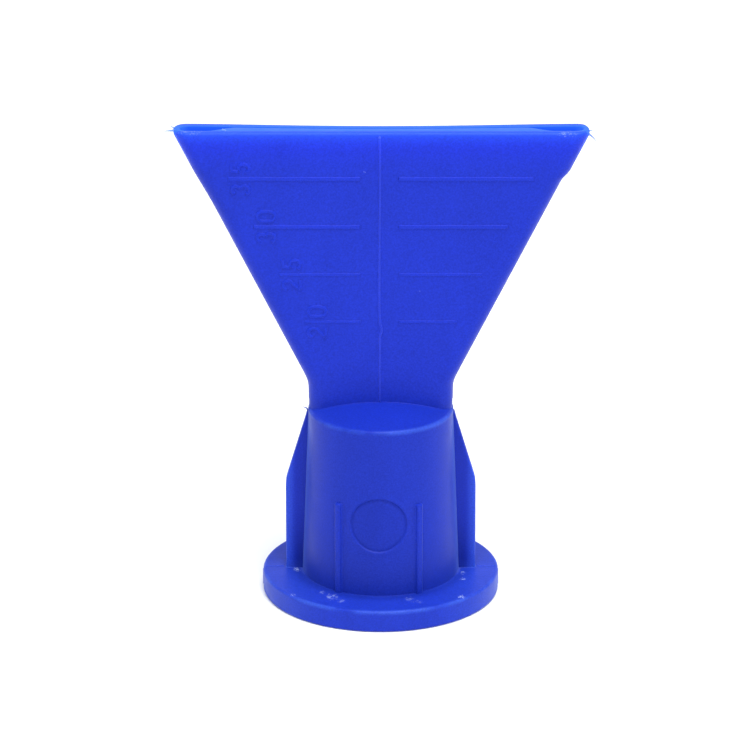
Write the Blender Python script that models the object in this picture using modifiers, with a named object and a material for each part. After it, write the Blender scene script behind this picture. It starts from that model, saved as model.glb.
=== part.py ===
"""Cut-to-width flat fan nozzle: a blue plastic moulding on a round clamping flange.

The origin is the middle of the flange's underside, +Z points out of the mouth,
X runs along the mouth and -Y is the face that carries the raised cut marks.
"""

import math

import bmesh
import bpy

MM = 0.001

# Driving dimensions ------------------------------------------------------------
TOTAL_HEIGHT = 49.0 * MM
FLANGE_RADIUS = 11.95 * MM
FLANGE_HEIGHT = 2.25 * MM
FLANGE_EDGE_RADIUS = 0.3 * MM
SEAT_DEPTH = 0.1 * MM
CLAMP_FACE_MARGIN = 0.4 * MM

BARREL_BASE_RADIUS = 7.95 * MM
BARREL_TOP_RADIUS = 7.3 * MM
BARREL_TOP = 19.6 * MM
BARREL_WALL = 1.2 * MM
CAP_DEPTH = 1.2 * MM
DOME_RISE = 1.15 * MM

NECK_HALF_WIDTH = 7.22 * MM
FLARE_START = 22.4 * MM
FLARE_SLOPE = 0.5
FAN_THICKNESS = 3.2 * MM
FAN_WALL = 0.8 * MM
MOUTH_PINCH = 0.9 * MM

FIN_REACH = 9.62 * MM
FIN_CORNER_HEIGHT = 11.86 * MM
FIN_TOP = 19.2 * MM
FIN_THICKNESS = 0.9 * MM
RIB_OFFSET = 4.01 * MM
RIB_WIDTH = 0.7 * MM
RIB_PROUD = 0.35 * MM
RIB_TOP = 11.55 * MM

ROUND_MARK_HEIGHT = 9.73 * MM
ROUND_MARK_RADIUS = 2.85 * MM
ROUND_MARK_GROOVE = 0.13 * MM
BARREL_MARKS_SHIFT = -0.21 * MM

CUT_WIDTHS = (20, 25, 30, 35)
FIRST_CUT_HEIGHT = 29.25 * MM
CUT_PITCH = 5.0 * MM
BAR_HEIGHT = 0.38 * MM
BAR_INNER_END = 1.88 * MM
BAR_OUTER_INSET = 3.05 * MM
DIGIT_INSET = 4.28 * MM
DIGIT_HEIGHT = 2.05 * MM
DIGIT_WIDTH = 1.3 * MM
DIGIT_PITCH = 2.2 * MM
DIGIT_STROKE = 0.28 * MM
SEAM_WIDTH = 0.28 * MM
RELIEF = 0.15 * MM
MARKS_SHIFT = -0.13 * MM

GAP = 0.1 * MM
RELIEF_GAP = 0.02 * MM
MERGE_DISTANCE = 0.001 * MM
ROUND_STEPS = 64

BLUE = (0.028, 0.055, 0.66, 1.0)
RELIEF_BLUE = (0.034, 0.066, 0.70, 1.0)

# Sizes that follow from the driving ones
FAN_HALF_THICKNESS = FAN_THICKNESS / 2
SLOT_HALF = FAN_HALF_THICKNESS - FAN_WALL
CAP_BASE = BARREL_TOP - CAP_DEPTH
DOME_SPHERE = (BARREL_TOP_RADIUS**2 + DOME_RISE**2) / (2 * DOME_RISE)


# Scene and helpers -------------------------------------------------------------
def clear_scene():
    for obj in list(bpy.data.objects):
        bpy.data.objects.remove(obj, do_unlink=True)


def new_collection(name):
    collection = bpy.data.collections.new(name)
    bpy.context.scene.collection.children.link(collection)
    return collection


def plastic(name, colour, roughness):
    material = bpy.data.materials.new(name)
    material.use_nodes = True
    shader = material.node_tree.nodes["Principled BSDF"]
    shader.inputs["Base Color"].default_value = colour
    shader.inputs["Roughness"].default_value = roughness
    shader.inputs["Metallic"].default_value = 0.0
    return material


def add_object(name, data, material, collection):
    obj = bpy.data.objects.new(name, data)
    collection.objects.link(obj)
    if material:
        obj.data.materials.append(material)
    return obj


def mesh_from(name, build):
    """A mesh filled by build(bm), with its faces turned outwards."""
    mesh = bpy.data.meshes.new(name)
    bm = bmesh.new()
    build(bm)
    bmesh.ops.recalc_face_normals(bm, faces=bm.faces)
    bm.to_mesh(mesh)
    bm.free()
    return mesh


def shade_round(obj, angle=math.radians(35)):
    obj.data.shade_smooth()
    obj.data.set_sharp_from_angle(angle=angle)


def turned(name, profile, closed, material, collection):
    """A profile of (radius, height) points turned about Z by a Screw modifier."""
    mesh = bpy.data.meshes.new(name)
    edges = [(i, i + 1) for i in range(len(profile) - 1)]
    if closed:
        edges.append((len(profile) - 1, 0))
    mesh.from_pydata([(r, 0.0, z) for r, z in profile], edges, [])
    obj = add_object(name, mesh, material, collection)
    screw = obj.modifiers.new("turn", "SCREW")
    screw.steps = ROUND_STEPS
    screw.render_steps = ROUND_STEPS
    screw.use_merge_vertices = True
    screw.merge_threshold = MERGE_DISTANCE
    screw.use_smooth_shade = True
    return obj


def loft(name, rings, material, collection):
    """A closed solid through rings of points. Each ring goes out along one side of a wall
    and back along the other, so its end caps are strips between the two sides."""

    def build(bm):
        loops = [[bm.verts.new(point) for point in ring] for ring in rings]
        count = len(rings[0])
        for low, high in zip(loops, loops[1:]):
            for i in range(count):
                j = (i + 1) % count
                bm.faces.new((low[i], low[j], high[j], high[i]))
        for loop in (loops[0], loops[-1]):
            for i in range(count // 2 - 1):
                bm.faces.new((loop[i], loop[i + 1], loop[count - 2 - i], loop[count - 1 - i]))

    return add_object(name, mesh_from(name, build), material, collection)


def box(name, centre, size, material, collection):
    def build(bm):
        bmesh.ops.create_cube(bm, size=1.0)
        bmesh.ops.scale(bm, vec=size, verts=bm.verts)

    obj = add_object(name, mesh_from(name, build), material, collection)
    obj.location = centre
    return obj


def flat_plate(name, outlines, thickness, face_y, material, collection):
    """Closed (x, z) outlines filled in the XZ plane and extruded equally about face_y."""
    curve = bpy.data.curves.new(name, "CURVE")
    curve.dimensions = "2D"
    curve.fill_mode = "BOTH"
    curve.extrude = thickness / 2
    for outline in outlines:
        spline = curve.splines.new("POLY")
        spline.points.add(len(outline) - 1)
        for point, (x, z) in zip(spline.points, outline):
            point.co = (x, z, 0.0, 1.0)
        spline.use_cyclic_u = True
    obj = add_object(name, curve, material, collection)
    obj.rotation_euler = (math.pi / 2, 0.0, 0.0)
    obj.location = (0.0, face_y, 0.0)
    return obj


def soften_edges(obj, width, segments=2):
    bevel = obj.modifiers.new("soft_edges", "BEVEL")
    bevel.width = width
    bevel.segments = segments
    bevel.limit_method = "ANGLE"
    bevel.angle_limit = math.radians(40)
    return bevel


def subtract(obj, cutter):
    cutter.hide_render = True
    cutter.display_type = "WIRE"
    cut = obj.modifiers.new("cut_" + cutter.name, "BOOLEAN")
    cut.operation = "DIFFERENCE"
    cut.object = cutter
    return cut


# Shapes that several features share --------------------------------------------
def barrel_radius(z):
    """Outer radius of the tapered barrel at a height."""
    share = (z - FLANGE_HEIGHT) / (BARREL_TOP - FLANGE_HEIGHT)
    return BARREL_BASE_RADIUS + (BARREL_TOP_RADIUS - BARREL_BASE_RADIUS) * share


def dome_height(x, y, drop=0.0):
    """Height of the domed shoulder over a point, or of a surface that lies drop below it."""
    centre = BARREL_TOP + DOME_RISE - DOME_SPHERE
    return centre + math.sqrt((DOME_SPHERE - drop) ** 2 - x**2 - y**2)


def fan_half_width(z):
    """Outer half width of the fan: straight along the neck, then flaring."""
    return NECK_HALF_WIDTH + max(0.0, z - FLARE_START) * FLARE_SLOPE


# Base: flange, barrel and domed shoulder ---------------------------------------
def make_flange(material, collection):
    """A ring with a shallow seat for the barrel, which slopes up to the clamping face."""
    bore = BARREL_BASE_RADIUS - BARREL_WALL
    seat = FLANGE_HEIGHT - SEAT_DEPTH
    profile = [
        (FLANGE_RADIUS, FLANGE_HEIGHT),
        (FLANGE_RADIUS, 0.0),
        (bore, 0.0),
        (bore, seat),
        (BARREL_BASE_RADIUS + GAP, seat),
        (BARREL_BASE_RADIUS + CLAMP_FACE_MARGIN, FLANGE_HEIGHT),
    ]
    flange = turned("flange_ring", profile, True, material, collection)
    soften_edges(flange, FLANGE_EDGE_RADIUS)


def make_barrel(material, collection, cutters):
    low = FLANGE_HEIGHT - SEAT_DEPTH + GAP
    high = CAP_BASE - GAP
    profile = [
        (barrel_radius(high), high),
        (barrel_radius(low), low),
        (barrel_radius(low) - BARREL_WALL, low),
        (barrel_radius(high) - BARREL_WALL, high),
    ]
    barrel = turned("barrel_shell", profile, True, material, collection)
    subtract(barrel, round_mark_cutter(cutters))


def round_mark_cutter(cutters):
    """A thin ring that follows the barrel and cuts the outline of the round mark."""
    curve = bpy.data.curves.new("round_mark_path", "CURVE")
    curve.dimensions = "3D"
    curve.bevel_depth = ROUND_MARK_GROOVE
    curve.bevel_resolution = 1
    count = 40
    spline = curve.splines.new("POLY")
    spline.points.add(count - 1)
    spline.use_cyclic_u = True
    for i, point in enumerate(spline.points):
        angle = 2 * math.pi * i / count
        x = BARREL_MARKS_SHIFT + ROUND_MARK_RADIUS * math.cos(angle)
        z = ROUND_MARK_HEIGHT + ROUND_MARK_RADIUS * math.sin(angle)
        point.co = (x, -math.sqrt(barrel_radius(z) ** 2 - x**2), z, 1.0)
    path = add_object("round_mark_path", curve, None, cutters)
    mesh = bpy.data.meshes.new_from_object(path.evaluated_get(bpy.context.evaluated_depsgraph_get()))
    bm = bmesh.new()
    bm.from_mesh(mesh)
    bmesh.ops.remove_doubles(bm, verts=bm.verts, dist=MERGE_DISTANCE)
    bm.to_mesh(mesh)
    bm.free()
    cutter = add_object("round_mark_cutter", mesh, None, cutters)
    cutter.matrix_world = path.matrix_world
    bpy.data.objects.remove(path, do_unlink=True)
    return cutter


def make_shoulder(material, collection, cutters):
    """The barrel's domed end, a cap with the slot that feeds the fan."""
    bore = barrel_radius(CAP_BASE) - BARREL_WALL
    steps = 8
    outer = [BARREL_TOP_RADIUS * i / steps for i in range(steps + 1)]
    inner = [bore * i / steps for i in range(steps, -1, -1)]
    profile = [(r, dome_height(r, 0.0)) for r in outer]
    profile.append((barrel_radius(CAP_BASE), CAP_BASE))
    profile.append((bore, CAP_BASE))
    profile += [(r, dome_height(r, 0.0, CAP_DEPTH)) for r in inner]
    shoulder = turned("shoulder_dome", profile, False, material, collection)
    slot_width = 2 * (NECK_HALF_WIDTH - FAN_HALF_THICKNESS)
    size = (slot_width, 2 * SLOT_HALF, 4 * CAP_DEPTH)
    subtract(shoulder, box("slot_cutter", (0.0, 0.0, BARREL_TOP), size, None, cutters))


# Fan: two flat walls joined by rounded edges -----------------------------------
def pinch(x, z):
    """How far a wall sinks into the slot: nothing on the neck, most in the middle of the mouth."""
    rise = max(0.0, (z - FLARE_START) / (TOTAL_HEIGHT - FLARE_START))
    across = min(1.0, abs(x) / fan_half_width(z))
    return MOUTH_PINCH * rise**3 * (1 - across**2) ** 2


def make_fan_wall(name, side, sinks, material, collection):
    """One wall of the fan on the side (-1 front, +1 back), as rings that climb from the shoulder."""
    columns = 16
    heights = [None, FLARE_START] + [
        FLARE_START + (TOTAL_HEIGHT - FLARE_START) * share for share in (0.25, 0.5, 0.7, 0.85, 1.0)
    ]
    rings = []
    for z in heights:
        half = fan_half_width(z or FLARE_START) - FAN_HALF_THICKNESS - GAP
        across = [half * (2 * i / columns - 1) for i in range(columns + 1)]
        ring = []
        for x_values, depth in ((across, FAN_HALF_THICKNESS), (across[::-1], SLOT_HALF)):
            for x in x_values:
                height = z or dome_height(x, depth) + GAP
                ring.append((x, side * (depth - sinks * pinch(x, height)), height))
        rings.append(ring)
    loft(name, rings, material, collection)


def make_fan_edge(name, side, material, collection):
    """The rounded outer edge of the fan: a half tube that closes the slot's end."""
    steps = 8
    angles = [math.pi * (i / steps - 0.5) for i in range(steps + 1)]
    rings = []
    for z in (None, FLARE_START, TOTAL_HEIGHT):
        centre = fan_half_width(z or FLARE_START) - FAN_HALF_THICKNESS
        ring = []
        for arc, radius in ((angles, FAN_HALF_THICKNESS), (angles[::-1], SLOT_HALF)):
            for angle in arc:
                x = centre + radius * math.cos(angle)
                y = radius * math.sin(angle)
                ring.append((side * x, y, z or dome_height(x, y) + GAP))
        rings.append(ring)
    edge = loft(name, rings, material, collection)
    shade_round(edge)


# Fins and ribs on the barrel ---------------------------------------------------
def make_fin(name, side, material, collection):
    """A thin gusset from the flange's rim side up to the shoulder, on the mould's parting plane."""
    foot = FLANGE_HEIGHT + GAP
    outline = [
        (barrel_radius(foot) + GAP, foot),
        (FIN_REACH, foot),
        (FIN_REACH, FIN_CORNER_HEIGHT),
        (barrel_radius(FIN_TOP) + 2 * GAP, FIN_TOP),
        (barrel_radius(FIN_TOP) + GAP, FIN_TOP),
    ]
    outline = [(side * x, z) for x, z in outline]
    flat_plate(name, [outline], FIN_THICKNESS, 0.0, material, collection)


def make_rib(name, side_x, side_y, material, collection):
    """A low upright strip that follows the barrel's surface."""
    rings = []
    for z in (FLANGE_HEIGHT + GAP, RIB_TOP):
        ring = []
        for lift, edges in ((GAP, (-0.5, 0.0, 0.5)), (GAP + RIB_PROUD, (0.5, 0.0, -0.5))):
            for edge in edges:
                x = side_x * RIB_OFFSET + BARREL_MARKS_SHIFT + edge * RIB_WIDTH
                ring.append((x, side_y * math.sqrt((barrel_radius(z) + lift) ** 2 - x**2), z))
        rings.append(ring)
    loft(name, rings, material, collection)


# Raised marks on the front face ------------------------------------------------
def relief_y(proud=RELIEF):
    """The middle plane of a raised mark that stands proud of the front face."""
    return -(FAN_HALF_THICKNESS + RELIEF_GAP + proud / 2)


def arc(centre, radii, start, end, steps):
    """Points of an elliptical arc, its angles in degrees."""
    points = []
    for i in range(steps + 1):
        angle = math.radians(start + (end - start) * i / steps)
        points.append((centre[0] + radii[0] * math.cos(angle), centre[1] + radii[1] * math.sin(angle)))
    return points


def digit_path(digit):
    """Centre line of a numeral in a box one wide and one high, and whether it is a ring."""
    if digit == "0":
        top = arc((0.5, 0.66), (0.5, 0.34), 0, 180, 6)
        return top + arc((0.5, 0.34), (0.5, 0.34), 180, 360, 6), True
    if digit == "2":
        bow = arc((0.5, 0.7), (0.46, 0.3), 165, -30, 7)
        return bow + [(0.04, 0.0), (1.0, 0.0)], False
    if digit == "3":
        upper = arc((0.46, 0.755), (0.44, 0.245), 155, -62, 7)
        lower = arc((0.46, 0.27), (0.5, 0.27), 68, -155, 8)
        return upper + lower, False
    bowl = arc((0.45, 0.31), (0.5, 0.31), 130, -150, 9)
    return [(0.92, 1.0), (0.16, 1.0)] + bowl, False


def stroke_outlines(path, ring, width):
    """The outlines of a line drawn along a path with an even width."""
    count = len(path)
    sides = ([], [])
    for i, (x, y) in enumerate(path):
        before = path[i - 1] if ring or i > 0 else None
        after = path[(i + 1) % count] if ring or i < count - 1 else None
        directions = []
        for a, b in ((before, (x, y)), ((x, y), after)):
            if a and b:
                length = math.hypot(b[0] - a[0], b[1] - a[1])
                directions.append(((b[0] - a[0]) / length, (b[1] - a[1]) / length))
        dx = sum(d[0] for d in directions)
        dy = sum(d[1] for d in directions)
        length = math.hypot(dx, dy)
        normal = (-dy / length, dx / length)
        mitre = normal[0] * -directions[0][1] + normal[1] * directions[0][0]
        reach = width / 2 / max(mitre, 0.55)
        for outline, sign in zip(sides, (1, -1)):
            outline.append((x + sign * reach * normal[0], y + sign * reach * normal[1]))
    if ring:
        return [sides[0], sides[1]]
    return [sides[0] + sides[1][::-1]]


def make_digit(name, digit, centre_x, centre_z, material, collection):
    """A raised numeral turned to be read from the side: its top points along -X."""
    path, ring = digit_path(digit)
    width = DIGIT_WIDTH - DIGIT_STROKE
    height = DIGIT_HEIGHT - DIGIT_STROKE
    placed = [((u - 0.5) * width, (v - 0.5) * height) for u, v in path]
    outlines = stroke_outlines(placed, ring, DIGIT_STROKE)
    turned_outlines = [[(centre_x - v, centre_z + u) for u, v in outline] for outline in outlines]
    flat_plate(name, turned_outlines, RELIEF, relief_y(), material, collection)


def make_cut_marks(material, collection):
    """At each cut width: a bar either side of the middle, and the width as two numerals,
    one over and one under the left bar."""
    for step, width in enumerate(CUT_WIDTHS):
        z = FIRST_CUT_HEIGHT + CUT_PITCH * step
        half = fan_half_width(z)
        digits_x = -(half - DIGIT_INSET)
        spans = {
            "left": (-(half - BAR_OUTER_INSET), MARKS_SHIFT - BAR_INNER_END),
            "right": (MARKS_SHIFT + BAR_INNER_END, half - BAR_OUTER_INSET),
        }
        for side, (start, end) in spans.items():
            centre = ((start + end) / 2, relief_y(), z)
            box(f"cut_bar_{width}_{side}", centre, (end - start, RELIEF, BAR_HEIGHT), material, collection)
        for place, digit, shift in zip(("tens", "units"), str(width), (-0.5, 0.5)):
            name = f"numeral_{width}_{place}"
            make_digit(name, digit, digits_x, z + shift * DIGIT_PITCH, material, collection)


def make_seam(material, collection):
    low = dome_height(0.0, FAN_HALF_THICKNESS) + 2 * GAP
    high = TOTAL_HEIGHT - 2 * GAP
    centre = (MARKS_SHIFT, relief_y(), (low + high) / 2)
    box("front_seam_line", centre, (SEAM_WIDTH, RELIEF, high - low), material, collection)


def main():
    clear_scene()
    nozzle = new_collection("fan_nozzle")
    cutters = new_collection("cutters")
    body = plastic("blue_moulding", BLUE, 0.42)
    marks = plastic("blue_relief", RELIEF_BLUE, 0.38)

    make_flange(body, nozzle)
    make_barrel(body, nozzle, cutters)
    make_shoulder(body, nozzle, cutters)
    make_fan_wall("fan_front_wall", -1, 0.0, body, nozzle)
    make_fan_wall("fan_back_wall", 1, 1.0, body, nozzle)
    make_fan_edge("fan_left_edge", -1, body, nozzle)
    make_fan_edge("fan_right_edge", 1, body, nozzle)
    for side_name, side in (("left", -1), ("right", 1)):
        make_fin(f"side_fin_{side_name}", side, body, nozzle)
        make_rib(f"front_rib_{side_name}", side, -1, body, nozzle)
        make_rib(f"back_rib_{side_name}", side, 1, body, nozzle)
    make_cut_marks(marks, nozzle)
    make_seam(marks, nozzle)


main()
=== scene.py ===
"""The looks of a blue moulded flat fan nozzle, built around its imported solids, in metres."""

import math
import random

import bmesh
import bpy
import numpy as np
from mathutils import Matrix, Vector


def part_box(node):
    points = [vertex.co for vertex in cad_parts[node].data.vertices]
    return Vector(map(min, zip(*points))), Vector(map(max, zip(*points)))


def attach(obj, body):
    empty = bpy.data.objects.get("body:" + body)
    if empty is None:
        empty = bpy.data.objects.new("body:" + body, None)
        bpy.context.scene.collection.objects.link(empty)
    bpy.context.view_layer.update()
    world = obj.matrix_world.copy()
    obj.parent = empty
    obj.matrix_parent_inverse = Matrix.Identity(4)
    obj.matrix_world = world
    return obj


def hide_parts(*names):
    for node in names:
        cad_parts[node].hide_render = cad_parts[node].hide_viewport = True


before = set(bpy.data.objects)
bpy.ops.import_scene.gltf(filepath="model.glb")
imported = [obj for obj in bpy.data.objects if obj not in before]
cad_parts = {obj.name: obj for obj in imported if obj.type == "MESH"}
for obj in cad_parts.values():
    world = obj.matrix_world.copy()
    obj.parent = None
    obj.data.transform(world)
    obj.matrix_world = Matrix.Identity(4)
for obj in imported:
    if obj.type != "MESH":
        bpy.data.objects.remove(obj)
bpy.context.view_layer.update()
MM = 0.001

# --- Studio --------------------------------------------------------------------
# A white table under soft light: a wide panel overhead, a panel behind the camera and
# a tall strip on each side, which draws the bright edges of the barrel.
scene = bpy.context.scene
scene.view_settings.view_transform = "Standard"


def point_at(obj, target):
    obj.rotation_euler = (Vector(target) - obj.location).to_track_quat("-Z", "Y").to_euler()


CAMERA_DISTANCE = 0.5
CAMERA_ELEVATION = math.radians(20.54)
CAMERA_TARGET = Vector((-0.58 * MM, 0.0, 23.0 * MM))
camera = bpy.data.objects.new("camera", bpy.data.cameras.new("camera"))
scene.collection.objects.link(camera)
camera.data.lens = 238.86
camera.data.sensor_width = 36.0
camera.data.clip_start = 0.01
camera_back = Vector((0.0, -math.cos(CAMERA_ELEVATION), math.sin(CAMERA_ELEVATION)))
camera.location = CAMERA_TARGET + CAMERA_DISTANCE * camera_back
point_at(camera, CAMERA_TARGET)
scene.camera = camera


def light_panel(name, place, width, height, watts, colour=(1.0, 1.0, 1.0)):
    light = bpy.data.lights.new(name, "AREA")
    light.shape = "RECTANGLE"
    light.size = width
    light.size_y = height
    light.energy = watts
    light.color = colour
    panel = bpy.data.objects.new(name, light)
    scene.collection.objects.link(panel)
    panel.location = place
    point_at(panel, (0.0, 0.0, 25 * MM))


COOL_WHITE = (0.62, 1.0, 1.0)
light_panel("panel_overhead", (0.06, -0.14, 0.55), 0.3, 0.22, 2.8)
light_panel("panel_front", (0.15, -0.75, 0.45), 0.5, 0.35, 1.5)
light_panel("strip_left", (-0.42, 0.02, 0.10), 0.12, 0.4, 0.34, COOL_WHITE)
light_panel("strip_right", (0.42, 0.02, 0.10), 0.12, 0.4, 0.42, COOL_WHITE)

world = bpy.data.worlds.new("room")
scene.world = world
world.use_nodes = True
room_light = world.node_tree.nodes["Background"]
room_light.inputs["Color"].default_value = (1.0, 1.0, 1.0, 1.0)
room_light.inputs["Strength"].default_value = 0.7

table_mesh = bpy.data.meshes.new("table_top")
TABLE_REACH = 3.0
table_corners = [(x * TABLE_REACH, y * TABLE_REACH, 0.0) for x, y in ((-1, -1), (1, -1), (1, 1), (-1, 1))]
table_mesh.from_pydata(table_corners, [], [(0, 1, 2, 3)])
table_top = bpy.data.objects.new("table_top", table_mesh)
scene.collection.objects.link(table_top)
table_paint = bpy.data.materials.new("table_paint")
table_paint.use_nodes = True
table_shader = table_paint.node_tree.nodes["Principled BSDF"]
table_shader.inputs["Base Color"].default_value = (0.93, 0.93, 0.93, 1.0)
table_shader.inputs["Roughness"].default_value = 0.9
table_shader.inputs["Specular IOR Level"].default_value = 0.1
table_mesh.materials.append(table_paint)

# --- Plastic -------------------------------------------------------------------
# The whole nozzle is one shot of blue polypropylene, a little translucent, with a satin
# skin from the mould, and knocks leave pale scuffs. Thin lips let more light through, which
# is painted in as a paler blue; the colour also carries painted shade over the barrel,
# painted highlights and glints, and a painted sheen on the flange and beside the fins.
FLOAT, COLOUR, VECTOR = "NodeSocketFloat", "NodeSocketColor", "NodeSocketVector"
# The base blue and the tones mixed over it: painted shade, painted glow at the lip and rim, painted
# highlights and painted sheen
BLUES = {
    "Blue": (0.0078, 0.0262, 0.442),
    "Painted Shade Blue": (0.0076, 0.0243, 0.33),
    "Painted Lip Glow Blue": (0.009, 0.027, 0.65),
    "Painted Rim Glow Blue": (0.016, 0.074, 0.70),
    "Painted Highlight Blue": (0.034, 0.088, 0.54),
    "Painted Sheen Blue": (0.055, 0.090, 0.50),
}
SCUFF_WHITE = (0.55, 0.68, 0.95, 1.0)
GLOW_BLUE = (0.008, 0.075, 0.42, 1.0)
NO_GLOW = (0.0, 0.0, 0.0, 1.0)
# Strength of the painted highlights on the flange's top edge and the dome's rim
PAINTED_EDGE_HIGHLIGHT = 0.6
# Strength of the painted sheen on the flange's top towards its ends
PAINTED_FLANGE_SHEEN = 0.2
# How strong the painted shade is over the barrel, the neck and the barrel's foot
PAINTED_SHADE_BARREL, PAINTED_SHADE_NECK, PAINTED_SHADE_FOOT = 0.6, 0.45, 0.5
MOTTLE = 0.6
FLOW_SHARE = 0.35
GRAIN_DEPTH = 0.012 * MM
# The painted glow at the lip and rim fades down from the lip's top over these depths
LIP_HEIGHT = 49.0 * MM
LIP_DEPTH = 7.0 * MM
RIM_DEPTH = 2.2 * MM
GLOW_DEPTH = 5.0 * MM
STREAK_LEAN = math.radians(24)

# How many patches of each kind of noise there are to a metre
PATCHES, FLOW_MARKS, CLOUDS = 330.0, 260.0, 420.0
SPECKLES, STREAKS, RAGS, FLECKS = 6500.0, 5200.0, 6500.0, 4200.0

# Where each tone is at its full strength and where it has faded out: heights, radii round
# the upright axis, and distances from the middle
# Painted shade over the barrel and the neck, darkest at the barrel's foot, where less light falls
PAINTED_SHADE_RADII = (8.1 * MM, 10.0 * MM)
PAINTED_SHADE_BARREL_HEIGHTS = (19.5 * MM, 22.5 * MM)
PAINTED_SHADE_FOOT_HEIGHTS = (1.5 * MM, 9.5 * MM)
PAINTED_SHADE_NECK_HEIGHTS = (20.5 * MM, 24.5 * MM)
# Painted sheen on the flange's top, towards its left and right ends
FLANGE_PAINTED_SHEEN_HEIGHTS = (2.4 * MM, 3.4 * MM)
FLANGE_PAINTED_SHEEN_SIDES = (10.5 * MM, 4.5 * MM)
# Below the dome: painted light far from the axis, and the painted sheen beside the fins
BASE_HEIGHTS = (18.0 * MM, 19.5 * MM)
OUTER_RADII = (9.5 * MM, 8.5 * MM)
# Painted sheen on the barrel's flanks beside the fins
SIDE_PAINTED_SHEEN_DEPTHS = (1.1 * MM, 3.0 * MM)
SIDE_PAINTED_SHEEN_RADII = (8.0 * MM, 8.3 * MM)
EDGE_DISTANCES = (0.05 * MM, 0.4 * MM)
# Painted highlights: rings along the flange's top edge and the dome's rim
PAINTED_HIGHLIGHT_EDGES = ((11.85 * MM, 2.15 * MM), (7.2 * MM, 19.5 * MM))


def new_group(name, inputs, outputs):
    """A shader node group with (name, type, default) inputs and (name, type) outputs."""
    group = bpy.data.node_groups.new(name, "ShaderNodeTree")
    for label, kind, default in inputs:
        socket = group.interface.new_socket(label, in_out="INPUT", socket_type=kind)
        socket.default_value = default
    for label, kind in outputs:
        group.interface.new_socket(label, in_out="OUTPUT", socket_type=kind)
    start = group.nodes.new("NodeGroupInput")
    end = group.nodes.new("NodeGroupOutput")
    return group, start.outputs, end.inputs


def set_inputs(tree, node, inputs):
    """Sets a node's inputs, each from a plain value or by a link from a socket."""
    for key, value in inputs.items():
        if isinstance(value, bpy.types.NodeSocket):
            tree.links.new(value, node.inputs[key])
        else:
            node.inputs[key].default_value = value


def add_node(tree, kind, settings=None, inputs=None):
    node = tree.nodes.new(kind)
    for key, value in (settings or {}).items():
        setattr(node, key, value)
    set_inputs(tree, node, inputs or {})
    return node


def math_node(tree, operation, first, second=0.0, clamp=False):
    """One sum of sockets or numbers."""
    settings = {"operation": operation, "use_clamp": clamp}
    return add_node(tree, "ShaderNodeMath", settings, {0: first, 1: second}).outputs[0]


def product(tree, first, *others):
    for other in others:
        first = math_node(tree, "MULTIPLY", first, other)
    return first


def vector_node(tree, operation, inputs, output="Vector"):
    return add_node(tree, "ShaderNodeVectorMath", {"operation": operation}, inputs).outputs[output]


def noise(tree, place, scale, detail, **others):
    inputs = {"Vector": place, "Scale": scale, "Detail": detail, **others}
    return add_node(tree, "ShaderNodeTexNoise", inputs=inputs).outputs["Fac"]


def map_range(tree, value, old, new, interpolation="LINEAR"):
    """A value carried over from an old (low, high) range to a new one."""
    inputs = {"Value": value, "From Min": old[0], "From Max": old[1], "To Min": new[0], "To Max": new[1]}
    settings = {"interpolation_type": interpolation}
    return add_node(tree, "ShaderNodeMapRange", settings, inputs).outputs["Result"]


def soft_step(tree, value, start, end):
    """1 where the value is at the start, fading smoothly to 0 at the end."""
    if start < end:
        return map_range(tree, value, (start, end), (1.0, 0.0), "SMOOTHSTEP")
    return map_range(tree, value, (end, start), (0.0, 1.0), "SMOOTHSTEP")


def near_top(tree, below, depth, power):
    """1 at the top, falling to 0 at a depth below it."""
    share = math_node(tree, "SUBTRACT", 1.0, math_node(tree, "DIVIDE", below, depth, True))
    return math_node(tree, "POWER", share, power)


def mixed(tree, factor, first, second):
    """Two colours mixed by a factor; each is a socket or a plain value."""
    inputs = {"Factor": factor, "A": first, "B": second}
    return add_node(tree, "ShaderNodeMix", {"data_type": "RGBA"}, inputs).outputs["Result"]


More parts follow.
